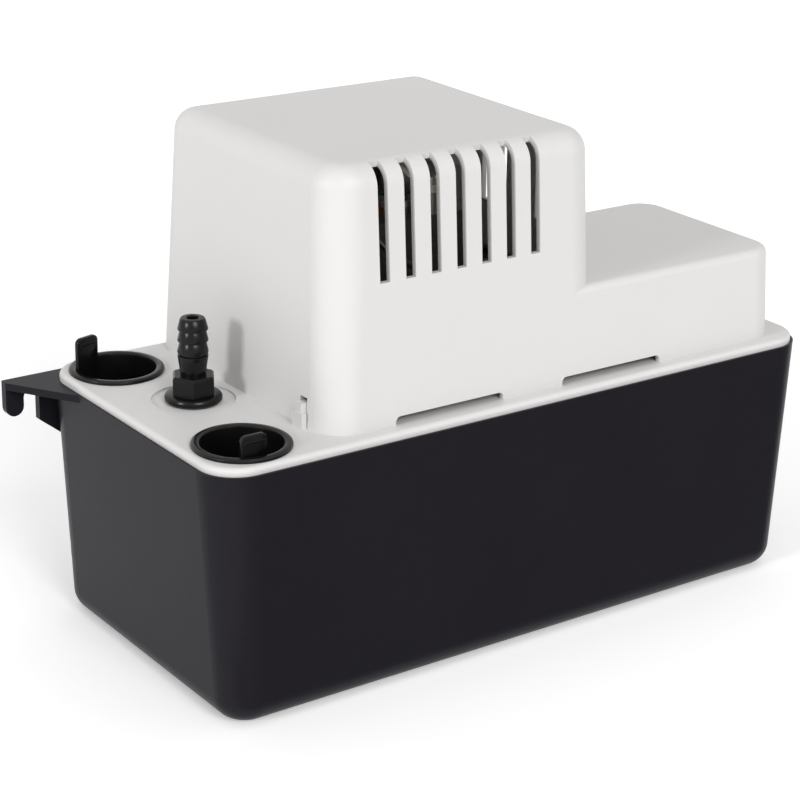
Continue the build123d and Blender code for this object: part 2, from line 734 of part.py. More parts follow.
# ---------------------------------------------------------------- motor
leg_width_x = stack_left - window_end
leg_x = motor_x - (stack_left + window_end) / 2
with BuildPart() as stator_core:
    with BuildSketch(Plane.XY.offset(stack_z)):
        with Locations((motor_x + (stack_right - stack_left) / 2, motor_y)):
            RectangleRounded(stack_right + stack_left, 2 * stack_half_width, 2.5)
        with Locations((motor_x - (window_start + window_end) / 2, motor_y)):
            Rectangle(window_end - window_start, 2 * yoke_inner, mode=Mode.SUBTRACT)
        with Locations(axis_point):
            Circle(bore_radius, mode=Mode.SUBTRACT)
        with Locations(*bolt_points):
            Circle(motor_bolt_radius + slip_gap, mode=Mode.SUBTRACT)
        for ring_turn in shading_turns:
            with Locations(*shading_points(ring_turn)):
                Circle(shading_ring_section / 2, mode=Mode.SUBTRACT)
    extrude(amount=stack_height)
stator_core.part.label = "stator_core"
export_step(stator_core.part, "parts/stator_core.step")

with BuildPart() as shading_rings:
    for ring_turn in shading_turns:
        first, last = shading_points(ring_turn)
        middle = ((first[0] + last[0]) / 2, (first[1] + last[1]) / 2)
        for point in (first, last):
            add(disc(*point, stack_z, shading_ring_section / 2, stack_height))
        for link_z in (stack_z - shading_ring_section, stack_top):
            with BuildSketch(Plane.XY.offset(link_z)):
                SlotCenterPoint(middle, first, shading_ring_section)
            extrude(amount=shading_ring_section)
shading_rings.part.label = "shading_rings"
export_step(shading_rings.part, "parts/shading_rings.step")

tube_x = leg_width_x + 2 * (slip_gap + bobbin_wall)
tube_z = stack_height + 2 * (slip_gap + bobbin_wall)
bobbin_half = yoke_inner - slip_gap
coil_half = bobbin_half - bobbin_wall
stack_middle = stack_z + stack_height / 2


def around_leg(half_length, width, height, round_corner, hole_x, hole_z):
    """A rectangular sleeve round the coil's leg, along Y."""
    with BuildPart() as sleeve:
        with BuildSketch(Plane(origin=(leg_x, motor_y + half_length, stack_middle),
                               x_dir=(1, 0, 0), z_dir=(0, -1, 0))):
            RectangleRounded(width, height, round_corner)
            Rectangle(hole_x, hole_z, mode=Mode.SUBTRACT)
        extrude(amount=2 * half_length)
    return sleeve.part


with BuildPart() as coil_bobbin:
    add(around_leg(bobbin_half, tube_x + 2 * coil_build, tube_z + 2 * coil_build, 2.0,
                   leg_width_x + 2 * slip_gap, stack_height + 2 * slip_gap))
    add(around_leg(coil_half, tube_x + 4 * coil_build, tube_z + 4 * coil_build, 2.0, tube_x, tube_z),
        mode=Mode.SUBTRACT)
coil_bobbin.part.label = "coil_bobbin"
export_step(coil_bobbin.part, "parts/coil_bobbin.step")

coil_x = tube_x + 2 * (coil_build - coil_below_flange)
coil_z = tube_z + 2 * (coil_build - coil_below_flange)
with BuildPart() as coil_winding:
    add(around_leg(coil_half, coil_x, coil_z, 5.0, tube_x, tube_z))
coil_winding.part.label = "coil_winding"
export_step(coil_winding.part, "parts/coil_winding.step")

# bearing brackets: a strap with two posts on the laminations and a hub for the bearing
for bracket_name, strap_z, post_z in (
    ("lower_bearing_bracket", lower_strap_z, lower_strap_z + strap_sheet),
    ("upper_bearing_bracket", upper_strap_z, upper_strap_z - strap_gap),
):
    hub_z = strap_z + strap_sheet / 2 - bearing_length / 2
    with BuildPart() as bracket:
        with BuildSketch(Plane.XY.offset(strap_z)):
            with Locations(axis_point):
                SlotOverall(2 * motor_bolt_y + strap_width, strap_width, rotation=90)
        extrude(amount=strap_sheet)
        add(disc(*axis_point, hub_z, bearing_radius + 3, bearing_length))
        for point in bolt_points:
            add(disc(*point, post_z, motor_spacer_radius, strap_gap))
            add(disc(*point, post_z - 2 * strap_gap, motor_bolt_radius + slip_gap, 4 * strap_gap),
                mode=Mode.SUBTRACT)
        add(disc(*axis_point, hub_z - 1, bearing_radius, bearing_length + 2), mode=Mode.SUBTRACT)
    bracket.part.label = bracket_name
    export_step(bracket.part, f"parts/{bracket_name}.step")
    bearing_name = bracket_name.replace("_bracket", "")
    with BuildPart() as bearing:
        add(disc(*axis_point, hub_z, bearing_radius, bearing_length, shaft_radius + running_gap))
    bearing.part.label = bearing_name
    export_step(bearing.part, f"parts/{bearing_name}.step")

with BuildPart() as motor_plate:
    with BuildSketch(Plane.XY.offset(plate_z)):
        with Locations(axis_point):
            RectangleRounded(2 * (mount_boss_x + plate_margin), 2 * (mount_boss_y + plate_margin), 4.0)
            Circle(slinger_radius + 1.5, mode=Mode.SUBTRACT)
        with Locations(*boss_points, *bolt_points):
            Circle(motor_bolt_radius + slip_gap, mode=Mode.SUBTRACT)
    extrude(amount=motor_plate_sheet)
motor_plate.part.label = "motor_plate"
export_step(motor_plate.part, "parts/motor_plate.step")

with BuildPart() as motor_spacers:
    for point in bolt_points:
        add(disc(*point, spacer_z, motor_spacer_radius, motor_spacer_height, motor_bolt_radius + slip_gap))
motor_spacers.part.label = "motor_spacers"
export_step(motor_spacers.part, "parts/motor_spacers.step")

nut_height = 1.6 * motor_bolt_radius
with BuildPart() as motor_bolts:
    for point in bolt_points:
        add(screw(*point, motor_top, motor_top - plate_z + nut_height, motor_bolt_radius))
motor_bolts.part.label = "motor_bolts"
export_step(motor_bolts.part, "parts/motor_bolts.step")

with BuildPart() as motor_nuts:
    with BuildSketch(Plane.XY.offset(plate_z - nut_height)):
        with Locations(*bolt_points):
            RegularPolygon(1.75 * motor_bolt_radius, 6, major_radius=False)
            Circle(motor_bolt_radius, mode=Mode.SUBTRACT)
    extrude(amount=nut_height)
motor_nuts.part.label = "motor_nuts"
export_step(motor_nuts.part, "parts/motor_nuts.step")

with BuildPart() as plate_screws:
    for point in boss_points:
        add(screw(*point, spacer_z, mount_boss_height + motor_plate_sheet, motor_bolt_radius))
plate_screws.part.label = "plate_screws"
export_step(plate_screws.part, "parts/plate_screws.step")

# ---------------------------------------------------------------- rotor line
with BuildPart() as motor_shaft:
    add(disc(*axis_point, impeller_z, shaft_radius, shaft_top - impeller_z))
    fillet(motor_shaft.edges().group_by(Axis.Z)[-1], shaft_radius / 4)
motor_shaft.part.label = "motor_shaft"
export_step(motor_shaft.part, "parts/motor_shaft.step")

rotor_radius = bore_radius - air_gap
with BuildPart() as rotor_core:
    add(disc(*axis_point, stack_z, rotor_radius, stack_height, shaft_radius))
rotor_core.part.label = "rotor_core"
export_step(rotor_core.part, "parts/rotor_core.step")

with BuildPart() as rotor_end_rings:
    for ring_z in (stack_z - cage_ring_height, stack_top):
        add(disc(*axis_point, ring_z, rotor_radius - 0.7, cage_ring_height, shaft_radius + 5))
rotor_end_rings.part.label = "rotor_end_rings"
export_step(rotor_end_rings.part, "parts/rotor_end_rings.step")

blade_chord = (fan_height - blade_sheet * sin(radians(blade_pitch))) / cos(radians(blade_pitch))
with BuildPart() as cooling_fan:
    for blade in range(fan_blades):
        turn = radians(blade * 360 / fan_blades)
        with BuildSketch(Plane(origin=(motor_x, motor_y, fan_z + fan_height / 2),
                               x_dir=(-sin(turn), cos(turn), 0), z_dir=(cos(turn), sin(turn), 0))):
            Rectangle(blade_sheet, blade_chord, rotation=blade_pitch)
        extrude(amount=fan_radius)
    add(disc(*axis_point, fan_z, fan_hub, fan_height))
    add(disc(*axis_point, fan_z - 1, shaft_radius, fan_height + 2), mode=Mode.SUBTRACT)
cooling_fan.part.label = "cooling_fan"
export_step(cooling_fan.part, "parts/cooling_fan.step")

with BuildPart() as water_slinger:
    add(disc(*axis_point, deck_top + slinger_rise, slinger_radius, slinger_height, shaft_radius))
water_slinger.part.label = "water_slinger"
export_step(water_slinger.part, "parts/water_slinger.step")

vane_length = impeller_radius - impeller_hub - 1
with BuildPart() as impeller:
    add(disc(*axis_point, impeller_z + impeller_height - impeller_disc, impeller_radius, impeller_disc))
    add(disc(*axis_point, impeller_z, impeller_hub, impeller_height))
    with BuildSketch(Plane.XY.offset(impeller_z)):
        with Locations(axis_point):
            with PolarLocations(impeller_hub + vane_length / 2, impeller_vanes):
                Rectangle(vane_length, 1.4, rotation=25)
    extrude(amount=impeller_height)
    add(disc(*axis_point, impeller_z - 1, shaft_radius, impeller_height + 2), mode=Mode.SUBTRACT)
impeller.part.label = "impeller"
export_step(impeller.part, "parts/impeller.step")

# ---------------------------------------------------------------- pump casing and discharge
run_x = outlet_x - motor_x
run_y = outlet_y - motor_y
run_length = hypot(run_x, run_y)
heading = atan2(run_y, run_x) - asin(nozzle_offset / run_length)
nozzle_run = (run_length**2 - nozzle_offset**2) ** 0.5
ahead = Vector(cos(heading), sin(heading), 0)
aside = Vector(-sin(heading), cos(heading), 0)
nozzle_root = Vector(motor_x, motor_y, nozzle_z) + aside * nozzle_offset
nozzle_plane = Plane(origin=nozzle_root, x_dir=aside, z_dir=ahead)
lug_points = [
    (motor_x + lug_circle * cos(radians(turn)), motor_y + lug_circle * sin(radians(turn)))
    for turn in lug_turns
]
with BuildPart() as pump_volute:
    add(disc(*axis_point, volute_z, volute_radius, volute_height))
    for point in lug_points:
        add(disc(*point, volute_z, lug_radius, volute_height * 0.6))
    add(disc(*axis_point, volute_top, column_bore - slip_gap, column_neck))
    with BuildSketch(nozzle_plane):
        Circle(nipple_radius)
    extrude(amount=nozzle_length)
    with BuildSketch(nozzle_plane):
        Circle(valve_seat_bore)
    extrude(amount=nozzle_length + 1, mode=Mode.SUBTRACT)
    add(disc(*axis_point, volute_z, volute_radius - volute_wall, volute_height - volute_roof),
        mode=Mode.SUBTRACT)
    add(disc(*axis_point, volute_z, bushing_radius, volute_height + column_neck), mode=Mode.SUBTRACT)
    for point in lug_points:
        add(disc(*point, volute_z, column_screw_radius, volute_height * 0.5), mode=Mode.SUBTRACT)
pump_volute.part.label = "pump_volute"
export_step(pump_volute.part, "parts/pump_volute.step")

with BuildPart() as shaft_bushing:
    add(disc(*axis_point, volute_cavity_top, bushing_radius, volute_roof + column_neck,
             shaft_radius + running_gap))
shaft_bushing.part.label = "shaft_bushing"
export_step(shaft_bushing.part, "parts/shaft_bushing.step")

with BuildPart() as volute_cover:
    add(disc(*axis_point, pump_floor_gap, volute_radius, volute_cover_sheet))
    for point in lug_points:
        add(disc(*point, pump_floor_gap, lug_radius, volute_cover_sheet))
        add(disc(*point, pump_floor_gap - 1, column_screw_radius, volute_cover_sheet + 2),
            mode=Mode.SUBTRACT)
    add(disc(*axis_point, pump_floor_gap - 1, eye_radius, volute_cover_sheet + 2), mode=Mode.SUBTRACT)
volute_cover.part.label = "volute_cover"
export_step(volute_cover.part, "parts/volute_cover.step")

with BuildPart() as volute_screws:
    for point in lug_points:
        add(screw(*point, pump_floor_gap, volute_cover_sheet + volute_height * 0.5 - 1,
                  column_screw_radius, head_up=False))
volute_screws.part.label = "volute_screws"
export_step(volute_screws.part, "parts/volute_screws.step")

with BuildPart() as pump_column:
    add(disc(*axis_point, volute_top, column_radius, deck_under - volute_top))
    add(disc(*axis_point, deck_under - column_flange, column_flange_radius, column_flange))
    add(disc(*axis_point, volute_top - 1, column_bore, deck_under), mode=Mode.SUBTRACT)
    for point in column_screw_points:
        add(disc(*point, deck_under - column_flange - 1, column_screw_radius, column_flange + 2),
            mode=Mode.SUBTRACT)
    add(slab(motor_x - 2 * column_radius, motor_x + 2 * column_radius, motor_y - 2.5, motor_y + 2.5,
             deck_under - 22, deck_under - 10), mode=Mode.SUBTRACT)
pump_column.part.label = "pump_column"
export_step(pump_column.part, "parts/pump_column.step")

with BuildPart() as column_screws:
    for point in column_screw_points:
        add(screw(*point, deck_under - column_flange,
                  column_flange + deck_sheet + column_boss_height - 2, column_screw_radius, head_up=False))
column_screws.part.label = "column_screws"
export_step(column_screws.part, "parts/column_screws.step")

tube_inner = nipple_radius + slip_gap
tube_outer = tube_inner + tube_wall
tube_start = nozzle_root + ahead * (nozzle_length - hose_grip)
tube_corner = Vector(outlet_x, outlet_y, nozzle_z)
tube_end = Vector(outlet_x, outlet_y, valve_base - skin)
with BuildPart() as discharge_tube:
    with BuildLine() as tube_route:
        FilletPolyline(tube_start, tube_corner, tube_end, radius=tube_bend)
    with BuildSketch(Plane(origin=tube_start, z_dir=ahead)):
        Circle(tube_outer)
        Circle(tube_inner, mode=Mode.SUBTRACT)
    sweep()
discharge_tube.part.label = "discharge_tube"
export_step(discharge_tube.part, "parts/discharge_tube.step")

with BuildPart() as tube_clamps:
    for origin, way in ((tube_start + ahead * 3, ahead), (tube_end - Vector(0, 0, 3), Vector(0, 0, -1))):
        with BuildSketch(Plane(origin=origin, z_dir=way)):
            Circle(tube_outer + clamp_wall)
            Circle(tube_outer, mode=Mode.SUBTRACT)
        extrude(amount=clamp_width)
tube_clamps.part.label = "tube_clamps"
export_step(tube_clamps.part, "parts/tube_clamps.step")

# ---------------------------------------------------------------- float and its crank
side_plane_y = pivot_y + arm_thickness / 2
side_plane = Plane(origin=(0, side_plane_y, 0), x_dir=(1, 0, 0), z_dir=(0, -1, 0))
arm_end = (float_x - 4, float_top + foot_sheet + arm_width / 2 - 0.8)
with BuildPart() as float_arm:
    with BuildSketch(side_plane):
        with Locations((pivot_x, pivot_z)):
            Circle(arm_boss)
        for end in ((trip_x, trip_z), arm_end):
            middle = ((pivot_x + end[0]) / 2, (pivot_z + end[1]) / 2)
            SlotCenterPoint(middle, end, arm_width)
        with Locations((pivot_x, pivot_z)):
            Circle(pivot_pin + running_gap, mode=Mode.SUBTRACT)
        with Locations((trip_x, trip_z)):
            Circle(trip_radius, mode=Mode.SUBTRACT)
    extrude(amount=arm_thickness)
    add(slab(float_x - foot_length + 6, float_x + 6, pivot_y - foot_width / 2, pivot_y + foot_width / 2,
             float_top, float_top + foot_sheet))
    for screw_x in float_screw_x:
        add(disc(screw_x, pivot_y, float_top - 1, column_screw_radius, foot_sheet + 2), mode=Mode.SUBTRACT)
float_arm.part.label = "float_arm"
export_step(float_arm.part, "parts/float_arm.step")

with BuildPart() as float_block:
    with BuildSketch(Plane.XY.offset(float_z - float_height / 2)):
        with Locations((float_x, pivot_y)):
            RectangleRounded(float_length, float_width, float_round)
    extrude(amount=float_height)
    fillet(float_block.faces().sort_by(Axis.Z)[-1].edges(), float_round / 3)
    fillet(float_block.faces().sort_by(Axis.Z)[0].edges(), float_round / 3)
    for screw_x in float_screw_x:
        add(disc(screw_x, pivot_y, float_top - 8, column_screw_radius, 10), mode=Mode.SUBTRACT)
float_block.part.label = "float"
export_step(float_block.part, "parts/float.step")

with BuildPart() as float_screws:
    for screw_x in float_screw_x:
        add(screw(screw_x, pivot_y, float_top + foot_sheet, foot_sheet + 7.5, column_screw_radius))
float_screws.part.label = "float_screws"
export_step(float_screws.part, "parts/float_screws.step")

trip_half = switch_plate / 2 + switch_width / 2 + lever_width / 2 + 1
with BuildPart() as trip_bar:
    add(rod(trip_x, pivot_y - trip_half, pivot_y + trip_half, trip_z, trip_radius))
trip_bar.part.label = "trip_bar"
export_step(trip_bar.part, "parts/trip_bar.step")

ear_inner = arm_thickness / 2 + skin
ear_outer = ear_inner + bracket_sheet
base_half = ear_outer + 6.5
bracket_left = slot_middle_x - slot_length / 2 - 2
bracket_right = bracket_left + bracket_length
with BuildPart() as float_bracket:
    add(slab(bracket_left, bracket_right, pivot_y - base_half, pivot_y + base_half,
             deck_under - bracket_sheet, deck_under))
    add(slab(slot_middle_x - slot_length / 2, slot_middle_x + slot_length / 2, pivot_y - ear_inner,
             pivot_y + ear_inner, deck_under - 3 * bracket_sheet, deck_under + 1), mode=Mode.SUBTRACT)
    for ear_y in (pivot_y - ear_outer, pivot_y + ear_inner):
        add(slab(pivot_x - 5, pivot_x + 5, ear_y, ear_y + bracket_sheet, pivot_z - 5,
                 deck_under - bracket_sheet))
    add(rod(pivot_x, pivot_y - base_half, pivot_y + base_half, pivot_z, pivot_pin), mode=Mode.SUBTRACT)
    for point in bracket_screw_points:
        add(disc(*point, deck_under - 2 * bracket_sheet, column_screw_radius, 3 * bracket_sheet),
            mode=Mode.SUBTRACT)
float_bracket.part.label = "float_bracket"
export_step(float_bracket.part, "parts/float_bracket.step")

with BuildPart() as float_pivot_pin:
    add(rod(pivot_x, pivot_y - ear_outer - 1, pivot_y + ear_outer + 1, pivot_z, pivot_pin))
    add(rod(pivot_x, pivot_y - ear_outer - 1.2, pivot_y - ear_outer, pivot_z, pivot_pin + 1.2))
    add(rod(pivot_x, pivot_y + ear_outer, pivot_y + ear_outer + 1.2, pivot_z, pivot_pin + 1.2))
float_pivot_pin.part.label = "float_pivot_pin"
export_step(float_pivot_pin.part, "parts/float_pivot_pin.step")

with BuildPart() as bracket_screws:
    for point in bracket_screw_points:
        add(screw(*point, deck_under - bracket_sheet, bracket_sheet + deck_sheet, column_screw_radius,
                  head_up=False))
    for point in foot_screw_points:
        add(screw(*point, deck_top + bracket_sheet, bracket_sheet + deck_sheet, column_screw_radius))
bracket_screws.part.label = "bracket_screws"
export_step(bracket_screws.part, "parts/bracket_screws.step")

# ---------------------------------------------------------------- switches
switch_top = switch_base + switch_height
screw_places = [(switch_left + 5, switch_base + 7), (switch_left + 5, switch_top - 6)]
terminal_levels = (switch_base + 3, switch_base + 14, switch_top - 2.5)
with BuildPart() as switch_bracket:
    add(slab(switch_left, switch_face, pivot_y - switch_plate / 2, pivot_y + switch_plate / 2,
             deck_top, switch_top))
    add(slab(switch_left - bracket_foot, switch_face, pivot_y - base_half, pivot_y + base_half,
             deck_top, deck_top + bracket_sheet))
    for place_x, place_z in screw_places:
        add(rod(place_x, pivot_y - switch_plate, pivot_y + switch_plate, place_z, switch_screw_radius),
            mode=Mode.SUBTRACT)
    for point in foot_screw_points:
        add(disc(*point, deck_top - 1, column_screw_radius, bracket_sheet + 2), mode=Mode.SUBTRACT)
switch_bracket.part.label = "switch_bracket"
export_step(switch_bracket.part, "parts/switch_bracket.step")

for switch_name, side_y in (("run", run_switch_y), ("safety", safety_switch_y)):
    middle_y = side_y + switch_width / 2
    cheek = (switch_width - lever_width - 2 * lift_gap) / 2
    with BuildPart() as switch_body:
        add(slab(switch_left, switch_face, side_y, side_y + switch_width, switch_base, switch_top))
        for cheek_y in (side_y, side_y + switch_width - cheek):
            add(slab(switch_face - 1, lever_x + 2, cheek_y, cheek_y + cheek, lever_z - 2, lever_z + 2))
        add(rod(lever_x, side_y - 1, side_y + switch_width + 1, lever_z, lever_pin + running_gap),
            mode=Mode.SUBTRACT)
        add(bar_x(switch_face - 6, switch_face + 1, middle_y, button_z, button_radius + running_gap),
            mode=Mode.SUBTRACT)
        for place_x, place_z in screw_places:
            add(rod(place_x, side_y - 1, side_y + switch_width + 1, place_z, switch_screw_radius),
                mode=Mode.SUBTRACT)
    switch_body.part.label = f"{switch_name}_switch"
    export_step(switch_body.part, f"parts/{switch_name}_switch.step")

    with BuildPart() as lever:
        with BuildSketch(Plane(origin=(lever_x, middle_y + lever_width / 2, lever_z), x_dir=(1, 0, 0),
                               z_dir=(0, -1, 0))):
            with Locations((lever_reach / 2 * sin(radians(lever_angle)),
                            -lever_reach / 2 * cos(radians(lever_angle)))):
                Rectangle(lever_sheet, lever_reach, rotation=lever_angle)
        extrude(amount=lever_width)
        add(rod(lever_x, side_y + 0.4, side_y + switch_width - 0.4, lever_z, lever_pin))
    lever.part.label = f"{switch_name}_switch_lever"
    export_step(lever.part, f"parts/{switch_name}_switch_lever.step")

    with BuildPart() as button:
        add(bar_x(switch_face - 3, switch_face + button_stand, middle_y, button_z, button_radius))
        fillet(button.edges().group_by(Axis.X)[-1], 0.5)
    button.part.label = f"{switch_name}_switch_button"
    export_step(button.part, f"parts/{switch_name}_switch_button.step")

with BuildPart() as switch_terminals:
    for side_y in (run_switch_y, safety_switch_y):
        middle_y = side_y + switch_width / 2
        for level in terminal_levels:
            add(slab(switch_left - terminal_length, switch_left, middle_y - 2.4, middle_y + 2.4, level - 0.4,
                     level + 0.4))
switch_terminals.part.label = "switch_terminals"
export_step(switch_terminals.part, "parts/switch_terminals.step")

stack_front = run_switch_y
stack_back = safety_switch_y + switch_width
with BuildPart() as switch_screws:
    for place_x, place_z in screw_places:
        add(rod(place_x, stack_front - 2, stack_front, place_z, 1.8 * switch_screw_radius))
        add(rod(place_x, stack_front, stack_back + 3, place_z, switch_screw_radius))
switch_screws.part.label = "switch_screws"
export_step(switch_screws.part, "parts/switch_screws.step")

# ---------------------------------------------------------------- wiring
nut_z = deck_top + nut_radius
with BuildPart() as wire_nuts:
    for nut_y in (live_nut_y, ground_nut_y):
        with BuildSketch(Plane(origin=(nut_x, nut_y, nut_z), x_dir=(0, 1, 0), z_dir=(1, 0, 0))):
            Circle(nut_radius)
        extrude(amount=nut_length, taper=8)
wire_nuts.part.label = "wire_nuts"
export_step(wire_nuts.part, "parts/wire_nuts.step")

lead_z = deck_top + lead_radius + 0.2
flange_y = motor_y - bobbin_half - lead_radius
lead_end_z = stack_top + coil_build - 3
with BuildPart() as lead_switch_motor:
    add(lead_tube([
        (switch_left - terminal_length - lead_radius, run_switch_y + switch_width / 2, terminal_levels[0]),
        (switch_left - 11, run_switch_y - 6, terminal_levels[0] + 1),
        (switch_left - 8, motor_y - 34, stack_z - 22),
        (motor_x, motor_y - 42, stack_z + 1),
        (leg_x + 12, motor_y - 38, stack_top - 6),
        (leg_x + 4, motor_y - 30, lead_end_z),
        (leg_x + 2, flange_y, lead_end_z + 1),
    ], wire_bend))
lead_switch_motor.part.label = "lead_switch_motor"
export_step(lead_switch_motor.part, "parts/lead_switch_motor.step")

with BuildPart() as lead_motor_neutral:
    add(lead_tube([
        (leg_x - 6, flange_y, lead_end_z + 1),
        (leg_x - 10, motor_y - 34, lead_end_z - 6),
        (leg_x - 4, motor_y - 48, stack_z - 6),
        (motor_x - 16, motor_y - 50, lead_z + 3),
        (motor_x + 40, motor_y - 50, lead_z),
        (nut_x - 14, live_nut_y - 4, lead_z + 1),
        (nut_x - 2 * lead_radius, live_nut_y, nut_z),
    ], wire_bend))
lead_motor_neutral.part.label = "lead_motor_neutral"
export_step(lead_motor_neutral.part, "parts/lead_motor_neutral.step")

with BuildPart() as lead_ground:
    add(lead_tube([
        (ground_point[0], ground_point[1], spacer_z + lead_radius),
        (ground_point[0], ground_point[1] - 10, spacer_z + lead_radius),
        (ground_point[0] + 6, ground_point[1] - 17, spacer_z - 4),
        (ground_point[0] + 20, ground_point[1] - 18, lead_z + 0.4),
        (nut_x - 14, ground_nut_y - 3, lead_z + 1),
        (nut_x - 2 * lead_radius, ground_nut_y, nut_z),
    ], wire_bend))
lead_ground.part.label = "lead_ground"
export_step(lead_ground.part, "parts/lead_ground.step")
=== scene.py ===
"""Looks for a condensate pump: studio, camera, procedural materials and the small pieces that the
solid model leaves out.  Metres, +Z up, same frame as the solids."""
import json
from math import atan2, cos, pi, radians, sin

import bmesh
import bpy
from mathutils import Matrix, Vector


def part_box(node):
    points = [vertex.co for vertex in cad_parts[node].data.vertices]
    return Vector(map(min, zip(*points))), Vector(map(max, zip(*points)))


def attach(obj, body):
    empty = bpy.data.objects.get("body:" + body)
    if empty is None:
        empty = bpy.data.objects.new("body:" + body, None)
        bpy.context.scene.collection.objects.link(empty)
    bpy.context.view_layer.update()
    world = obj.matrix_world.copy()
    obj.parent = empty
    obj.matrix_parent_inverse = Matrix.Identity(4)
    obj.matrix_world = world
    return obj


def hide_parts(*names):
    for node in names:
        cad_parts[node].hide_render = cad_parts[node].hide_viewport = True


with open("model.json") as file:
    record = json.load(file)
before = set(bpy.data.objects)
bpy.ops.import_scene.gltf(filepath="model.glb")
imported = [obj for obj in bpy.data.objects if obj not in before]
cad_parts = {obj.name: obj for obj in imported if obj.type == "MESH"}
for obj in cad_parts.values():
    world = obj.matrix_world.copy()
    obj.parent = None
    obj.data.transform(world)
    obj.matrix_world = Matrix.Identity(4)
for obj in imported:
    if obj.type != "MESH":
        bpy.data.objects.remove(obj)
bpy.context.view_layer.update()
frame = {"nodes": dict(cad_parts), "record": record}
nodes = frame["nodes"]

# ---------------------------------------------------------------- camera
CAMERA_PLACE = Vector((-0.48691, -0.65134, 0.38690))
CAMERA_TURN = radians(-35.815)
CAMERA_RISE = radians(20.842)
CAMERA_ROLL = radians(1.269)
CAMERA_LENS = 101.73
SENSOR_WIDTH = 36.0
FARTHEST = 20.0

reach = cos(CAMERA_RISE)
back = Vector((sin(CAMERA_TURN) * reach, -cos(CAMERA_TURN) * reach, sin(CAMERA_RISE)))
level = Vector((0, 0, 1)).cross(back).normalized()
upright = back.cross(level)
right = level * cos(CAMERA_ROLL) + upright * sin(CAMERA_ROLL)
up = upright * cos(CAMERA_ROLL) - level * sin(CAMERA_ROLL)
camera = bpy.data.objects.new("camera", bpy.data.cameras.new("camera"))
camera.data.lens = CAMERA_LENS
camera.data.sensor_width = SENSOR_WIDTH
camera.data.clip_end = FARTHEST
facing = Matrix((right, up, back)).transposed().to_4x4()
camera.matrix_world = Matrix.Translation(CAMERA_PLACE) @ facing
bpy.context.scene.collection.objects.link(camera)
bpy.context.scene.camera = camera
bpy.context.scene.view_settings.view_transform = "Standard"


# ---------------------------------------------------------------- node helpers
def node(tree, kind, inputs=None, **settings):
    """Adds a shader node; inputs are linked when they are sockets and set when they are values."""
    made = tree.nodes.new(kind)
    for key, value in settings.items():
        setattr(made, key, value)
    for key, value in (inputs or {}).items():
        if isinstance(value, bpy.types.NodeSocket):
            tree.links.new(value, made.inputs[key])
        else:
            made.inputs[key].default_value = value
    return made


def maths(tree, operation, first, second=0.0, clamp=False):
    made = node(tree, "ShaderNodeMath", {0: first, 1: second}, operation=operation, use_clamp=clamp)
    return made.outputs[0]


def mix(tree, share, first, second):
    """Blends two colours; share is how much of the second shows."""
    return node(tree, "ShaderNodeMix", {0: share, 6: first, 7: second}, data_type="RGBA").outputs[2]


def new_group(name, inputs, outputs):
    """An empty node group with named sockets."""
    tree = bpy.data.node_groups.new(name, "ShaderNodeTree")
    for label, kind, default in inputs:
        socket = tree.interface.new_socket(label, in_out="INPUT", socket_type=kind)
        socket.default_value = default
    for label, kind in outputs:
        tree.interface.new_socket(label, in_out="OUTPUT", socket_type=kind)
    return tree, tree.nodes.new("NodeGroupInput").outputs, tree.nodes.new("NodeGroupOutput").inputs


def noise(tree, size, detail=2.0, stretch=None):
    """Noise in object space whose features are about size metres."""
    place = node(tree, "ShaderNodeTexCoord").outputs["Object"]
    if stretch is not None:
        place = node(tree, "ShaderNodeVectorMath", {0: place, 1: stretch}, operation="MULTIPLY").outputs[0]
    scale = maths(tree, "DIVIDE", 1.0, size)
    made = node(tree, "ShaderNodeTexNoise", {"Vector": place, "Scale": scale, "Detail": detail})
    return made.outputs["Fac"]


# ---------------------------------------------------------------- effects shared by the materials
FLOAT, COLOR, VECTOR = "NodeSocketFloat", "NodeSocketColor", "NodeSocketVector"
FINE_SIZE, FINE_WEIGHT = 0.12, 0.5                  # small patches beside the large ones
WAVE_SIZE = 0.03                                    # metres between slow waves in moulded walls
EDGE_GAIN, CHIP_SIZE, CHIP_GAIN = 5.0, 0.004, 1.5   # how far wear reaches and how broken it is
LINE_ROUGHNESS = 0.25                               # how much drawn lines change the gloss
GAP_GAIN = 5.0                                      # how sharp the gaps between sheets are
TIDE_SIZE, TIDE_REACH, TIDE_GAIN = 0.03, 0.012, 250.0   # wander and narrowness of the tide line
SPECK_SIZE = 0.002

tone, given, out = new_group(
    "uneven_tone",
    [("Color", COLOR, (0.8, 0.8, 0.8, 1)), ("Amount", FLOAT, 0.05), ("Patch size", FLOAT, 0.05),
     ("Roughness", FLOAT, 0.5), ("Roughness amount", FLOAT, 0.06)],
    [("Color", COLOR), ("Roughness", FLOAT)])
patches = maths(tone, "SUBTRACT", noise(tone, given["Patch size"], 3.0), 0.5)
fine_size = maths(tone, "MULTIPLY", given["Patch size"], FINE_SIZE)
fine = maths(tone, "SUBTRACT", noise(tone, fine_size, 2.0), 0.5)
blend = maths(tone, "ADD", patches, maths(tone, "MULTIPLY", fine, FINE_WEIGHT))
value = maths(tone, "ADD", 1.0, maths(tone, "MULTIPLY", blend, given["Amount"]))
tone.links.new(node(tone, "ShaderNodeHueSaturation", {"Value": value, "Color": given["Color"]}).outputs[0],
               out["Color"])
gloss = maths(tone, "MULTIPLY", fine, given["Roughness amount"])
tone.links.new(maths(tone, "ADD", given["Roughness"], gloss), out["Roughness"])

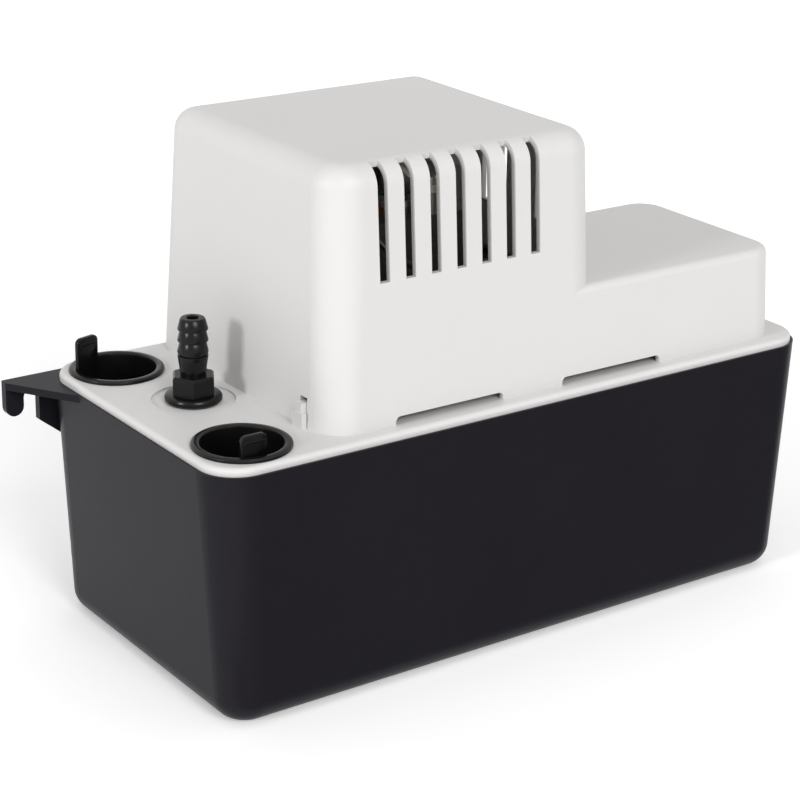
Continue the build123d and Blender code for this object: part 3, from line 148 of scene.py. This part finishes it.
grain, given, out = new_group(
    "moulded_grain",
    [("Grain size", FLOAT, 0.0007), ("Depth", FLOAT, 0.00002), ("Waviness", FLOAT, 0.00006)],
    [("Normal", VECTOR)])
spark = node(grain, "ShaderNodeBump", {"Height": noise(grain, given["Grain size"], 3.0),
                                       "Distance": given["Depth"], "Strength": 1.0}).outputs[0]
waves = node(grain, "ShaderNodeBump", {"Height": noise(grain, WAVE_SIZE, 1.0), "Normal": spark,
                                       "Distance": given["Waviness"]}).outputs[0]
grain.links.new(waves, out["Normal"])

edge, given, out = new_group(
    "edge_wear",
    [("Color", COLOR, (0.5, 0.5, 0.5, 1)), ("Worn color", COLOR, (0.8, 0.8, 0.8, 1)),
     ("Radius", FLOAT, 0.0008), ("Amount", FLOAT, 0.5)],
    [("Color", COLOR), ("Mask", FLOAT)])
rounded = node(edge, "ShaderNodeBevel", {"Radius": given["Radius"]}, samples=4).outputs[0]
facing = node(edge, "ShaderNodeNewGeometry").outputs["Normal"]
turned = node(edge, "ShaderNodeVectorMath", {0: rounded, 1: facing}, operation="DOT_PRODUCT")
bend = maths(edge, "SUBTRACT", 1.0, turned.outputs["Value"])
bend = maths(edge, "MULTIPLY", bend, EDGE_GAIN, clamp=True)
broken = maths(edge, "MULTIPLY", noise(edge, CHIP_SIZE, 4.0), CHIP_GAIN, clamp=True)
mask = maths(edge, "MULTIPLY", maths(edge, "MULTIPLY", bend, broken), given["Amount"], clamp=True)
edge.links.new(mix(edge, mask, given["Color"], given["Worn color"]), out["Color"])
edge.links.new(mask, out["Mask"])

drawn, given, out = new_group(
    "drawn_lines",
    [("Direction", VECTOR, (1, 1, 0.05)), ("Line size", FLOAT, 0.0004), ("Depth", FLOAT, 0.000015),
     ("Roughness", FLOAT, 0.35)],
    [("Normal", VECTOR), ("Roughness", FLOAT)])
lines = noise(drawn, given["Line size"], 3.0, given["Direction"])
drawn.links.new(node(drawn, "ShaderNodeBump", {"Height": lines, "Distance": given["Depth"]}).outputs[0],
                out["Normal"])
drawn.links.new(maths(drawn, "ADD", given["Roughness"],
                      maths(drawn, "MULTIPLY", maths(drawn, "SUBTRACT", lines, 0.5), LINE_ROUGHNESS)),
                out["Roughness"])

sheets, given, out = new_group(
    "stacked_sheets",
    [("Pitch", FLOAT, 0.0005), ("Depth", FLOAT, 0.00008), ("Along", VECTOR, (0, 0, 1))],
    [("Normal", VECTOR), ("Gap", FLOAT)])
spot = node(sheets, "ShaderNodeTexCoord").outputs["Object"]
along = node(sheets, "ShaderNodeVectorMath", {0: spot, 1: given["Along"]}, operation="DOT_PRODUCT")
turns = maths(sheets, "DIVIDE", along.outputs["Value"], given["Pitch"])
step = maths(sheets, "PINGPONG", turns, 0.5)
ridge = maths(sheets, "MULTIPLY", maths(sheets, "SUBTRACT", 0.5, step), GAP_GAIN, clamp=True)
sheets.links.new(node(sheets, "ShaderNodeBump", {"Height": ridge, "Distance": given["Depth"]}).outputs[0],
                 out["Normal"])
sheets.links.new(maths(sheets, "SUBTRACT", 1.0, ridge), out["Gap"])

damp, given, out = new_group(
    "dried_marks",
    [("Color", COLOR, (0.1, 0.1, 0.1, 1)), ("Mark color", COLOR, (0.3, 0.28, 0.25, 1)),
     ("Height", FLOAT, 0.06), ("Amount", FLOAT, 0.3)],
    [("Color", COLOR)])
spot = node(damp, "ShaderNodeTexCoord").outputs["Object"]
high = node(damp, "ShaderNodeSeparateXYZ", {0: spot}).outputs["Z"]
wander = maths(damp, "MULTIPLY", maths(damp, "SUBTRACT", noise(damp, TIDE_SIZE, 3.0), 0.5), TIDE_REACH)
near = maths(damp, "ABSOLUTE", maths(damp, "SUBTRACT", maths(damp, "ADD", high, wander), given["Height"]))
band = maths(damp, "SUBTRACT", 1.0, maths(damp, "MULTIPLY", near, TIDE_GAIN), clamp=True)
speck = maths(damp, "MULTIPLY", noise(damp, SPECK_SIZE, 3.0), band)
mask = maths(damp, "MULTIPLY", speck, given["Amount"], clamp=True)
damp.links.new(mix(damp, mask, given["Color"], given["Mark color"]), out["Color"])


# ---------------------------------------------------------------- materials
COAT_ROUGHNESS = 0.25
GAP_COLOR = (0.01, 0.01, 0.01, 1)


def surface(name, color, roughness, metallic=0.0, uneven=0.06, patch=0.04, grain_size=0.0007,
            grain_depth=0.00002, worn=None, worn_amount=0.5, lines=None, pitch=None, marks=None,
            coat=0.0, specular=0.5):
    """A material with uneven tone and relief, and with worn edges, lines, sheets or marks if asked for."""
    material = bpy.data.materials.new(name)
    material.use_nodes = True
    tree = material.node_tree
    shader = tree.nodes["Principled BSDF"]
    shader.inputs["Metallic"].default_value = metallic
    shader.inputs["Coat Weight"].default_value = coat
    shader.inputs["Coat Roughness"].default_value = COAT_ROUGHNESS
    shader.inputs["Specular IOR Level"].default_value = specular

    def place(group, inputs):
        return node(tree, "ShaderNodeGroup", inputs, node_tree=group)

    base = place(tone, {"Color": (*color, 1.0), "Amount": uneven, "Patch size": patch,
                        "Roughness": roughness})
    shade, rough = base.outputs["Color"], base.outputs["Roughness"]
    if marks is not None:
        shade = place(damp, {"Color": shade, "Mark color": (*marks, 1.0)}).outputs["Color"]
    if worn is not None:
        shade = place(edge, {"Color": shade, "Worn color": (*worn, 1.0),
                             "Amount": worn_amount}).outputs["Color"]
    if lines is not None:
        relief = place(drawn, {"Direction": lines, "Roughness": rough})
        rough = relief.outputs["Roughness"]
    elif pitch is not None:
        relief = place(sheets, {"Pitch": pitch[0], "Along": pitch[1], "Depth": pitch[2]})
        shade = mix(tree, relief.outputs["Gap"], shade, GAP_COLOR)
    else:
        relief = place(grain, {"Grain size": grain_size, "Depth": grain_depth})
    tree.links.new(shade, shader.inputs["Base Color"])
    tree.links.new(rough, shader.inputs["Roughness"])
    tree.links.new(relief.outputs["Normal"], shader.inputs["Normal"])
    return material


looks = {
    "tank_plastic": surface("tank_plastic", (0.0130, 0.0118, 0.0155), 0.34, worn=(0.03, 0.029, 0.032),
                            grain_depth=0.00002, uneven=0.2, worn_amount=0.3, specular=0.08),
    "housing_plastic": surface("housing_plastic", (0.655, 0.645, 0.635), 0.50, worn=(0.70, 0.69, 0.68),
                               uneven=0.03, grain_size=0.0005, grain_depth=0.000012, worn_amount=0.15),
    "black_plastic": surface("black_plastic", (0.0035, 0.0035, 0.004), 0.24, worn=(0.02, 0.02, 0.021),
                             uneven=0.3, marks=(0.12, 0.11, 0.10), specular=0.22),
    "natural_plastic": surface("natural_plastic", (0.66, 0.61, 0.50), 0.42, worn=(0.76, 0.73, 0.66),
                               uneven=0.08),
    "switch_plastic": surface("switch_plastic", (0.035, 0.026, 0.022), 0.34, worn=(0.09, 0.07, 0.06),
                              uneven=0.2),
    "orange_plastic": surface("orange_plastic", (0.80, 0.17, 0.015), 0.28, worn=(0.88, 0.34, 0.10),
                              uneven=0.08),
    "black_rubber": surface("black_rubber", (0.016, 0.016, 0.016), 0.62, worn=(0.05, 0.05, 0.048),
                            uneven=0.3, grain_size=0.001, grain_depth=0.00004),
    "float_foam": surface("float_foam", (0.045, 0.044, 0.042), 0.85, worn=(0.09, 0.088, 0.084), uneven=0.25,
                          grain_size=0.0016, grain_depth=0.00025, marks=(0.20, 0.18, 0.15), specular=0.25),
    "black_lead": surface("black_lead", (0.015, 0.015, 0.015), 0.32, uneven=0.2, grain_size=0.002),
    "white_lead": surface("white_lead", (0.72, 0.71, 0.68), 0.34, uneven=0.06, grain_size=0.002),
    "green_lead": surface("green_lead", (0.02, 0.20, 0.045), 0.34, uneven=0.15, grain_size=0.002),
    "lamination_steel": surface("lamination_steel", (0.075, 0.066, 0.058), 0.45, metallic=0.6, uneven=0.35,
                                pitch=(0.00065, (0, 0, 1), 0.00008), coat=0.3),
    "plated_steel": surface("plated_steel", (0.58, 0.56, 0.50), 0.34, metallic=1.0, uneven=0.18, patch=0.012,
                            worn=(0.75, 0.74, 0.71), lines=(1, 1, 0.1)),
    "bright_steel": surface("bright_steel", (0.62, 0.62, 0.61), 0.24, metallic=1.0, uneven=0.1, patch=0.02,
                            worn=(0.80, 0.80, 0.79), lines=(1, 1, 0.04)),
    "cast_aluminium": surface("cast_aluminium", (0.66, 0.66, 0.67), 0.42, metallic=1.0, uneven=0.12,
                              worn=(0.8, 0.8, 0.81), grain_size=0.0012, grain_depth=0.00006),
    "copper": surface("copper", (0.72, 0.32, 0.17), 0.30, metallic=1.0, uneven=0.2, worn=(0.86, 0.50, 0.32),
                      lines=(1, 1, 0.05)),
    "brass": surface("brass", (0.70, 0.50, 0.22), 0.30, metallic=1.0, uneven=0.15, worn=(0.84, 0.68, 0.40),
                     lines=(0.05, 1, 1)),
    "bronze": surface("bronze", (0.42, 0.27, 0.14), 0.45, metallic=1.0, uneven=0.3, worn=(0.62, 0.46, 0.28),
                      grain_size=0.0008, grain_depth=0.00004),
    "coil_wrap": surface("coil_wrap", (0.42, 0.13, 0.025), 0.35, metallic=0.35, uneven=0.3,
                         pitch=(0.0009, (0, 1, 0), 0.00022), coat=0.4),
}
varnished_cloth = surface("varnished_cloth", (0.055, 0.050, 0.040), 0.48, uneven=0.35, patch=0.01,
                          worn=(0.12, 0.10, 0.08), pitch=(0.0011, (0.3, 0.2, 1.0), 0.00012), coat=0.25)
slot_of = {row["node"]: row["material_slot"] for row in frame["record"]["subparts"]}
for name, shown in nodes.items():
    for place in shown.material_slots:
        place.material = looks[slot_of[name]]


# ---------------------------------------------------------------- studio
def link(name, mesh, material=None, smooth=True):
    made = bpy.data.objects.new(name, mesh)
    bpy.context.scene.collection.objects.link(made)
    if material is not None:
        mesh.materials.append(material)
    for face in mesh.polygons:
        face.use_smooth = smooth
    return made


def flat_sheet(name, low, high, color, roughness, glow=0.0):
    """A level rectangle between two corners, plain in colour."""
    mesh = bpy.data.meshes.new(name)
    builder = bmesh.new()
    corners = bmesh.ops.create_grid(builder, x_segments=1, y_segments=1, size=0.5)["verts"]
    bmesh.ops.scale(builder, vec=high - low + Vector((0, 0, 1)), verts=corners)
    bmesh.ops.translate(builder, vec=(low + high) / 2, verts=corners)
    builder.to_mesh(mesh)
    builder.free()
    look = bpy.data.materials.new(name)
    look.use_nodes = True
    shader = look.node_tree.nodes["Principled BSDF"]
    shader.inputs["Base Color"].default_value = (color, color, color, 1)
    shader.inputs["Roughness"].default_value = roughness
    shader.inputs["Emission Color"].default_value = (1, 1, 1, 1)
    shader.inputs["Emission Strength"].default_value = glow
    made = link(name, mesh, look, smooth=False)
    return made


FLOOR_COLOR, FLOOR_ROUGHNESS, FLOOR_GLOW = 0.93, 0.85, 0.27
flat_sheet("floor", Vector((-3, -3, 0)), Vector((3, 3, 0)), FLOOR_COLOR, FLOOR_ROUGHNESS, FLOOR_GLOW)

# a dark card on the floor in front, seen only in reflections, keeps the long wall deep black
CARD_LOW, CARD_HIGH = Vector((-0.16, -1.3, 0.0006)), Vector((1.5, -0.068, 0.0006))
CARD_COLOR, CARD_ROUGHNESS = 0.01, 0.5
card = flat_sheet("dark_card", CARD_LOW, CARD_HIGH, CARD_COLOR, CARD_ROUGHNESS)
for rays_kind in ("camera", "diffuse", "transmission", "volume_scatter", "shadow"):
    setattr(card, f"visible_{rays_kind}", False)

world = bpy.data.worlds.new("studio")
world.use_nodes = True
bpy.context.scene.world = world
tree = world.node_tree
rays = node(tree, "ShaderNodeLightPath").outputs
seen = maths(tree, "MAXIMUM", rays["Is Camera Ray"], rays["Is Glossy Ray"])
seen = maths(tree, "MAXIMUM", seen, rays["Is Transmission Ray"])
AMBIENT = 0.42
strength = maths(tree, "ADD", AMBIENT, maths(tree, "MULTIPLY", seen, 1.0 - AMBIENT))
tree.links.new(strength, tree.nodes["Background"].inputs["Strength"])
tree.nodes["Background"].inputs["Color"].default_value = (1, 1, 1, 1)


def sun(name, direction, power, spread):
    """A soft light from far off; direction is where it comes from."""
    lamp = bpy.data.lights.new(name, "SUN")
    lamp.energy = power
    lamp.angle = radians(spread)
    made = bpy.data.objects.new(name, lamp)
    made.rotation_euler = Vector(direction).to_track_quat("Z", "Y").to_euler()
    bpy.context.scene.collection.objects.link(made)


sun("left_box", (-0.94, -0.12, 0.32), 1.15, 13)
sun("front_box", (-0.10, -0.85, 0.52), 1.55, 28)
sun("top", (0.10, -0.10, 1.0), 0.35, 60)


# ---------------------------------------------------------------- small pieces
MM = 0.001
WELD = 1e-7
FLUTE_STEPS = 4
LEVEL_ENOUGH = 0.999


def from_bmesh(name, builder, material, body, sharp=35):
    """Links a finished piece with its material and rides it on its body."""
    mesh = bpy.data.meshes.new(name)
    bmesh.ops.remove_doubles(builder, verts=builder.verts, dist=WELD)
    bmesh.ops.recalc_face_normals(builder, faces=builder.faces)
    for line in builder.edges:
        if len(line.link_faces) == 2:
            line.smooth = line.calc_face_angle(0.0) < radians(sharp)
    builder.to_mesh(mesh)
    builder.free()
    piece = link(name, mesh, material)
    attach(piece, body)
    return piece


def fresh_ones(before, now):
    """What a mesh has gained since before was taken."""
    return [item for item in now if item not in before]


def lathe(builder, profile, origin, axis=(0, 0, 1), steps=64, flute=0.0):
    """Spins a profile of (radius, height) in millimetres round an axis through origin.
    flute is the share by which every fourth line is drawn in."""
    before = set(builder.verts)
    line = [builder.verts.new((radius * MM, 0, height * MM)) for radius, height in profile]
    strip = [builder.edges.new(pair) for pair in zip(line, line[1:])]
    bmesh.ops.spin(builder, geom=line + strip, cent=(0, 0, 0), axis=(0, 0, 1), angle=2 * pi, steps=steps,
                   use_merge=True)
    turned = fresh_ones(before, builder.verts)
    if flute > 0:
        grooves = [spot for spot in turned
                   if round(atan2(spot.co.y, spot.co.x) * steps / (2 * pi)) % FLUTE_STEPS == 0]
        bmesh.ops.scale(builder, vec=(1.0 - flute, 1.0 - flute, 1.0), verts=grooves)
    lean = Vector((0, 0, 1)).rotation_difference(Vector(axis)).to_matrix().to_4x4()
    bmesh.ops.transform(builder, matrix=Matrix.Translation(Vector(origin) * MM) @ lean, verts=turned)


def rounded_box(builder, lows, highs, runs_along, radius, segments=6, picked=lambda middle: True):
    """A box in millimetres whose picked edges along one axis are rounded; gives its faces."""
    before = set(builder.faces)
    lows, highs = Vector(lows) * MM, Vector(highs) * MM
    box = bmesh.ops.create_cube(builder, size=1.0)["verts"]
    bmesh.ops.scale(builder, vec=highs - lows, verts=box)
    bmesh.ops.translate(builder, vec=(highs + lows) / 2, verts=box)
    if radius > 0:
        corners = []
        for edge in {edge for spot in box for edge in spot.link_edges}:
            way = edge.verts[1].co - edge.verts[0].co
            middle = (edge.verts[1].co + edge.verts[0].co) / 2
            if abs(way[runs_along]) > LEVEL_ENOUGH * way.length and picked(middle):
                corners.append(edge)
        bmesh.ops.bevel(builder, geom=corners, offset=radius * MM, offset_type="OFFSET", segments=segments,
                        profile=0.5, affect="EDGES", material=-1)
    faces = fresh_ones(before, builder.faces)
    for face in faces:
        face.normal_update()
    return faces


def block(builder, x0, x1, y0, y1, z0, z1, bevel=0.2, turn=0.0, about=(0, 0), corner=0.0):
    """A bevelled block in millimetres, turned about a vertical line; corner rounds its two upper edges."""
    before = set(builder.verts)
    half_way = (z0 + z1) / 2 * MM
    faces = rounded_box(builder, (x0, y0, z0), (x1, y1, z1), 1, corner,
                        picked=lambda middle: middle.z > half_way)
    lines = {line for face in faces if abs(face.normal.y) > LEVEL_ENOUGH for line in face.edges}
    bmesh.ops.bevel(builder, geom=list(lines), offset=bevel * MM, segments=2, profile=0.5,
                    affect="EDGES", material=-1)
    place = Matrix.Translation((about[0] * MM, about[1] * MM, 0)) @ Matrix.Rotation(radians(turn), 4, "Z")
    bmesh.ops.transform(builder, matrix=place, verts=fresh_ones(before, builder.verts))


def band_loop(builder, corners, corner_radius, y0, y1, thickness, slope=0.6):
    """A rounded rectangular band round the Y direction; corners are (x0, x1, z0, z1) in millimetres."""
    x0, x1, z0, z1 = corners
    faces = rounded_box(builder, (x0 - thickness, y0 + slope, z0 - thickness),
                        (x1 + thickness, y1 - slope, z1 + thickness), 1, corner_radius + thickness,
                        segments=8)
    ends = [face for face in faces if abs(face.normal.y) > LEVEL_ENOUGH]
    for end in ends:
        bmesh.ops.inset_region(builder, faces=[end], thickness=thickness * MM, depth=slope * MM,
                               use_even_offset=True)
    loops = [edge for end in ends for edge in end.edges]
    bmesh.ops.delete(builder, geom=ends, context="FACES_ONLY")
    bmesh.ops.bridge_loops(builder, edges=loops)


TAPE_CORNER, TAPE_THICKNESS, TAPE_MARGIN = 5.0, 0.5, 0.12
low, high = (Vector(corner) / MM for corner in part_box("coil_winding"))
bare = TAPE_MARGIN * (high.y - low.y)
tape = bmesh.new()
band_loop(tape, (low.x, high.x, low.z, high.z), TAPE_CORNER, low.y + bare, high.y - bare, TAPE_THICKNESS)
from_bmesh("coil_tape", tape, varnished_cloth, "deck_unit")

LUG_X, LUG_Y = -8.0, -19.0
LUG = [(0, 0.0), (3.9, 0.0), (3.9, 0.8), (3.4, 0.8), (3.4, 2.2), (2.9, 2.8), (1.2, 3.1), (1.2, 2.4),
       (0, 2.4)]
plate_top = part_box("motor_plate")[1][2] / MM
screw_head = bmesh.new()
lathe(screw_head, LUG, (LUG_X, LUG_Y, plate_top), steps=32)
from_bmesh("ground_screw_and_ring", screw_head, looks["brass"], "deck_unit")

# ---------------------------------------------------------------- inlet plugs
FLANGE_SEAT, FLANGE_THICKNESS, CUP_FLOOR = 98.5, 1.5, -12.4
TAB_HALF, TAB_WALL, TAB_CORNER, TAB_BEVEL = 5.0, 0.8, 2.2, 0.25
GRIP_HALF, GRIP_IN, GRIP_OUT, GRIP_LOW, GRIP_HIGH, GRIP_BEVEL = 3.9, 0.6, 1.3, 3.1, 2.1, 0.15
# each plug's axis, its tab's place from the axis, the tab's turn and its height over the flange
PLUGS = {
    "front": ((-113.8, -43.2), (-2.9, -11.8), 0.0, 7.0),
    "rear": ((-113.8, 44.6), (-9.4, 5.5), 15.0, 11.5),
    "side": ((100.0, 43.6), (8.8, -5.5), 0.0, 9.0),
}
CUP = [(0, CUP_FLOOR), (13.4, CUP_FLOOR), (14.1, -12.0), (14.3, -11.0), (14.4, 0.4), (14.6, 1.1),
       (15.1, 1.45), (16.0, 1.5), (16.9, 1.4), (17.4, 1.05), (17.6, 0.5), (17.5, 0.05), (15.5, 0.0),
       (15.4, -0.5), (15.3, -13.2), (14.7, -14.0), (0, -14.0)]
for name, ((axis_x, axis_y), (tab_x, tab_y), turn, height) in PLUGS.items():
    plug = bmesh.new()
    lathe(plug, CUP, (axis_x, axis_y, FLANGE_SEAT), steps=96)
    middle = (axis_x + tab_x, axis_y + tab_y)
    top = FLANGE_SEAT + FLANGE_THICKNESS + height
    block(plug, -TAB_HALF, TAB_HALF, -TAB_WALL, TAB_WALL, FLANGE_SEAT + CUP_FLOOR, top, TAB_BEVEL, turn,
          middle, corner=TAB_CORNER)
    for grip_low, grip_high in ((GRIP_IN, GRIP_OUT), (-GRIP_OUT, -GRIP_IN)):
        block(plug, -GRIP_HALF, GRIP_HALF, grip_low, grip_high, top - GRIP_LOW, top - GRIP_HIGH, GRIP_BEVEL,
              turn, middle)
    piece = from_bmesh(f"plug_{name}_cup", plug, looks["black_plastic"], f"plug_{name}")
    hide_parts(f"inlet_plug_{name}")

# ---------------------------------------------------------------- outlet fitting
OUTLET = (-105.3, 3.5, 0.0)
BARB = [
    (2.05, 84.7), (6.6, 84.7), (6.6, 98.5), (10.1, 98.5), (10.35, 98.75), (10.4, 99.2), (10.35, 99.9),
    (10.0, 100.5), (9.2, 100.95), (7.4, 101.1), (4.6, 101.1), (4.6, 108.3), (4.75, 109.4), (5.0, 111.5),
    (5.3, 113.6), (5.5, 115.1), (5.45, 115.4), (5.1, 115.55), (4.6, 115.6), (4.55, 116.1), (5.0, 116.35),
    (5.55, 116.5), (5.6, 116.8), (4.95, 119.6), (4.6, 120.3), (4.65, 120.45), (5.5, 120.75), (5.55, 121.1),
    (4.9, 123.8), (4.6, 124.5), (4.65, 124.65), (5.45, 124.95), (5.5, 125.3), (4.6, 128.6), (4.2, 129.1),
    (3.7, 129.2), (2.5, 129.2), (2.15, 129.0), (2.05, 128.6), (2.05, 84.7)]
HEX = [(4.7, 101.0), (7.9, 101.0), (8.43, 101.2), (8.43, 107.3), (7.6, 108.1), (4.7, 108.1), (4.7, 101.0)]
fitting = bmesh.new()
lathe(fitting, BARB, OUTLET, steps=80)
barb = from_bmesh("outlet_barb", fitting, looks["black_plastic"], "deck_unit", sharp=28)
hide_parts("outlet_fitting")
flats = bmesh.new()
lathe(flats, HEX, OUTLET, steps=6)
from_bmesh("outlet_hex", flats, looks["black_plastic"], "deck_unit", sharp=20)

# ---------------------------------------------------------------- wire nuts and connectors
NUT = [(0, 10.0), (3.0, 10.0), (4.2, 0.0), (4.9, 0.0), (5.0, 0.4), (4.95, 2.2), (4.6, 2.6), (4.4, 3.2),
       (3.3, 12.8), (3.0, 14.6), (2.2, 15.6), (1.2, 15.9), (0, 16.0)]
NUT_ROWS, NUT_LEVEL, NUT_FLUTE = (-38.0, -25.0), 103.5, 0.05
nut_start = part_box("wire_nuts")[0][0] / MM
nuts = bmesh.new()
for nut_y in NUT_ROWS:
    lathe(nuts, NUT, (nut_start, nut_y, NUT_LEVEL), (1, 0, 0), steps=48, flute=NUT_FLUTE)
nut_piece = from_bmesh("ribbed_wire_nuts", nuts, looks["orange_plastic"], "deck_unit",
                       sharp=50)
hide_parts("wire_nuts")

SPADE_START, SPADE_END, SPADE_SIDES = 13.8, 19.4, (-5.9, -0.3)
SPADE_LEVELS, SPADE_UNDER, SPADE_OVER, SPADE_BEVEL, LOBE_RISE = (104.0, 127.0), 1.1, 0.45, 0.15, 0.1
LOBE = [(0, 0), (0.55, 0), (0.6, 0.1), (0.6, 5.4), (0.55, 5.6), (0, 5.6)]
spades = bmesh.new()
for spade_z in SPADE_LEVELS:
    block(spades, SPADE_START, SPADE_END, *SPADE_SIDES, spade_z - SPADE_UNDER, spade_z - SPADE_OVER,
          SPADE_BEVEL)
    for lobe_y in SPADE_SIDES:
        lathe(spades, LOBE, (SPADE_START, lobe_y, spade_z + LOBE_RISE), (1, 0, 0), steps=12)
from_bmesh("spade_connectors", spades, looks["brass"], "deck_unit")
